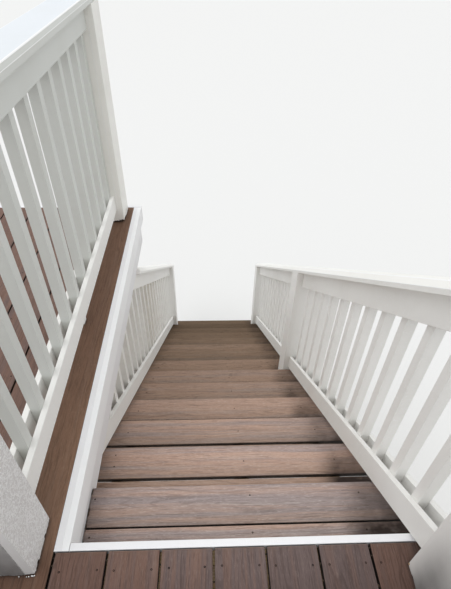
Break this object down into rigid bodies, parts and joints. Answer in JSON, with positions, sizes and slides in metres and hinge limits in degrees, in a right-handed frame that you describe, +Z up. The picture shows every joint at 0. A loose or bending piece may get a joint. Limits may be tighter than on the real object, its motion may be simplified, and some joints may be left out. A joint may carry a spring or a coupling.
{
  "type": "deck stairs",
  "caption": "Straight flight of composite board deck stairs with sawtooth stringers, white baluster rails and the part of the deck it leads down from.",
  "frame": {"origin": "on the ground, at the centre of the object's footprint", "axes": "+Z up, +Y down the stairs and away from the deck, +X to the right of a person who walks down"},
  "size_m": [1.992, 4.463, 3.8935],
  "materials": {
    "composite_board": "matte embossed wood grain",
    "white_board": "satin white paint",
    "white_post": "rough textured white paint",
    "framing_lumber": "weathered treated lumber"
  },
  "bodies": {
    "root": {"tread_01": "composite_board", "tread_02": "composite_board", "tread_03": "composite_board", "tread_04": "composite_board", "tread_05": "composite_board", "tread_06": "composite_board", "tread_07": "composite_board", "tread_08": "composite_board", "tread_09": "composite_board", "tread_10": "composite_board", "tread_11": "composite_board", "tread_12": "composite_board", "tread_13": "composite_board", "tread_14": "composite_board", "risers": "white_board", "stringer_left": "framing_lumber", "stringer_middle": "framing_lumber", "stringer_right": "framing_lumber", "deck_boards": "composite_board", "deck_rims": "framing_lumber", "deck_joists": "framing_lumber", "deck_beams": "framing_lumber", "deck_posts": "framing_lumber", "fascia_boards": "white_board", "side_trim": "white_board", "guard_posts": "white_post", "guard_cap": "white_board", "guard_top_rails": "white_board", "guard_bottom_rails": "white_board", "guard_balusters": "white_board", "guard_block": "white_board", "right_top_post": "white_post", "right_post_cap": "white_board", "right_mid_post": "white_post", "right_newel": "white_post", "right_cap": "white_board", "right_top_rails": "white_board", "right_bottom_rails": "white_board", "right_balusters": "white_board", "left_newel": "white_post", "left_cap": "white_board", "left_top_rails": "white_board", "left_bottom_rails": "white_board", "left_balusters": "white_board", "left_plate": "framing_lumber"}
  },
  "joints": []
}
